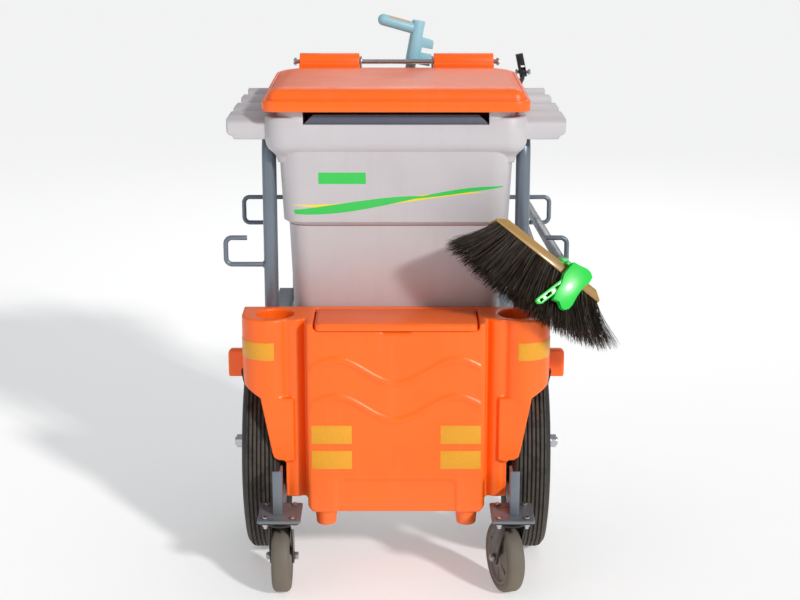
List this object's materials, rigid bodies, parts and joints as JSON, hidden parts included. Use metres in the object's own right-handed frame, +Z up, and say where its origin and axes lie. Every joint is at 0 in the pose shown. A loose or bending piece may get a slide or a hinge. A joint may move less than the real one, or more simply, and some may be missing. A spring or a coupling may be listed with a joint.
{
  "type": "street sweeper's push cart",
  "caption": "Push cart on two large wheels and two swivel casters, carrying a lidded litter bin, a moulded tool box and a stored broom.",
  "frame": {"origin": "on the ground, under the middle of the whole object's box", "axes": "+X to the side with the broom, +Y to the back where the push bar is, +Z up"},
  "size_m": [0.8612, 0.919, 1.2152],
  "materials": {
    "frame_steel": "satin",
    "bright_steel": "polished",
    "black_steel": "gloss",
    "orange_plastic": "satin",
    "grey_plastic": "satin",
    "dark_plastic": "matte",
    "tyre_rubber": "matte",
    "caster_rubber": "matte",
    "hub_plastic": "satin",
    "reflective_film": "gloss",
    "pole_metal": "satin",
    "green_plastic": "gloss",
    "block_wood": "lacquered",
    "bristle_fibre": "matte",
    "blue_plastic": "gloss"
  },
  "bodies": {
    "cart": {"side_frame_left": "frame_steel", "side_frame_right": "frame_steel", "push_handle": "frame_steel", "rear_cross_tube": "frame_steel", "rear_leg_left": "frame_steel", "rear_leg_right": "frame_steel", "base_rail_left": "frame_steel", "base_rail_right": "frame_steel", "axle_plate_left": "frame_steel", "axle_plate_right": "frame_steel", "top_beam_left": "frame_steel", "top_beam_right": "frame_steel", "front_cross_beam": "frame_steel", "rear_cross_beam": "frame_steel", "caster_plates": "frame_steel", "front_hook_left": "frame_steel", "front_hook_right": "frame_steel", "rear_hook_left": "frame_steel", "rear_hook_right": "frame_steel", "main_axle": "bright_steel", "axle_nuts": "bright_steel", "caster_top_left": "black_steel", "caster_top_right": "black_steel", "caster_bolts": "bright_steel", "tool_box": "orange_plastic", "box_straps": "black_steel", "tool_box_hinge_pin": "bright_steel", "reflective_tapes": "reflective_film", "clip_post": "dark_plastic", "clip_bolt": "bright_steel", "tool_cup": "frame_steel"},
    "bin": {"bin_shell": "grey_plastic", "sack_bar": "dark_plastic", "hinge_brackets": "bright_steel", "hinge_rod": "bright_steel"},
    "lid": {"bin_lid": "orange_plastic"},
    "box_lid": {"tool_box_lid": "orange_plastic"},
    "main_wheel_left": {"wheel_left": "black_steel", "tyre_left": "tyre_rubber", "wheel_bearings_left": "bright_steel"},
    "main_wheel_right": {"wheel_right": "black_steel", "tyre_right": "tyre_rubber", "wheel_bearings_right": "bright_steel"},
    "caster_left": {"caster_fork_left": "black_steel", "caster_axle_left": "bright_steel"},
    "caster_right": {"caster_fork_right": "black_steel", "caster_axle_right": "bright_steel"},
    "caster_roller_left": {"caster_wheel_left": "hub_plastic", "caster_tyre_left": "caster_rubber"},
    "caster_roller_right": {"caster_wheel_right": "hub_plastic", "caster_tyre_right": "caster_rubber"},
    "broom": {"broom_pole": "pole_metal", "broom_block": "block_wood", "broom_bristles": "bristle_fibre", "broom_clamp": "green_plastic"},
    "clamp_lever": {"broom_clamp_lever": "green_plastic"},
    "loose_rod": {"litter_rod": "bright_steel"},
    "upright_tool": {"handled_tool_pole": "pole_metal", "tool_grip": "blue_plastic"},
    "clip": {"clip_head": "dark_plastic"}
  },
  "joints": [
    {"name": "bin_lift", "type": "slide", "parent": "cart", "child": "bin", "axis": [0, 0, 1], "range_m": [0, 0.4]},
    {"name": "bin_lid_hinge", "type": "hinge", "parent": "bin", "child": "lid", "pos_m": [-0.04305, 0.3145, 1.102], "axis": [-1, 0, 0], "range_deg": [0, 90]},
    {"name": "box_lid_hinge", "type": "hinge", "parent": "cart", "child": "box_lid", "pos_m": [-0.04305, -0.2228, 0.607], "axis": [-1, 0, 0], "range_deg": [0, 75]},
    {"name": "main_wheel_left_spin", "type": "hinge", "parent": "cart", "child": "main_wheel_left", "pos_m": [-0.34605, -0.0765, 0.248], "axis": [1, 0, 0], "continuous": true},
    {"name": "main_wheel_right_spin", "type": "hinge", "parent": "cart", "child": "main_wheel_right", "pos_m": [0.25995, -0.0765, 0.248], "axis": [1, 0, 0], "continuous": true},
    {"name": "caster_left_swivel", "type": "hinge", "parent": "cart", "child": "caster_left", "pos_m": [-0.29805, -0.4045, 0.18], "axis": [0, 0, 1], "continuous": true},
    {"name": "caster_right_swivel", "type": "hinge", "parent": "cart", "child": "caster_right", "pos_m": [0.21195, -0.4045, 0.18], "axis": [0, 0, 1], "continuous": true},
    {"name": "caster_left_spin", "type": "hinge", "parent": "caster_left", "child": "caster_roller_left", "pos_m": [-0.29805, -0.3665, 0.08], "axis": [1, 0, 0], "continuous": true},
    {"name": "caster_right_spin", "type": "hinge", "parent": "caster_right", "child": "caster_roller_right", "pos_m": [0.20084, -0.36816, 0.08], "axis": [0.9563, 0.2924, 0], "continuous": true},
    {"name": "broom_slide", "type": "slide", "parent": "cart", "child": "broom", "axis": [0.044, -0.999, 0.0087], "range_m": [0, 0.6]},
    {"name": "clamp_lever_hinge", "type": "hinge", "parent": "broom", "child": "clamp_lever", "pos_m": [0.3268, -0.35908, 0.71822], "axis": [-0.2954, 0.8829, -0.3648], "range_deg": [-17, 60]},
    {"name": "loose_rod_slide", "type": "slide", "parent": "cart", "child": "loose_rod", "axis": [0, 1, -0.0087], "range_m": [0, 0.5]},
    {"name": "upright_tool_lift", "type": "slide", "parent": "cart", "child": "upright_tool", "axis": [0.1805, 0, 0.9836], "range_m": [0, 0.3]},
    {"name": "clip_head_hinge", "type": "hinge", "parent": "cart", "child": "clip", "pos_m": [0.27195, 0.3485, 1.072], "axis": [1, 0, 0], "range_deg": [-90, 15]}
  ]
}
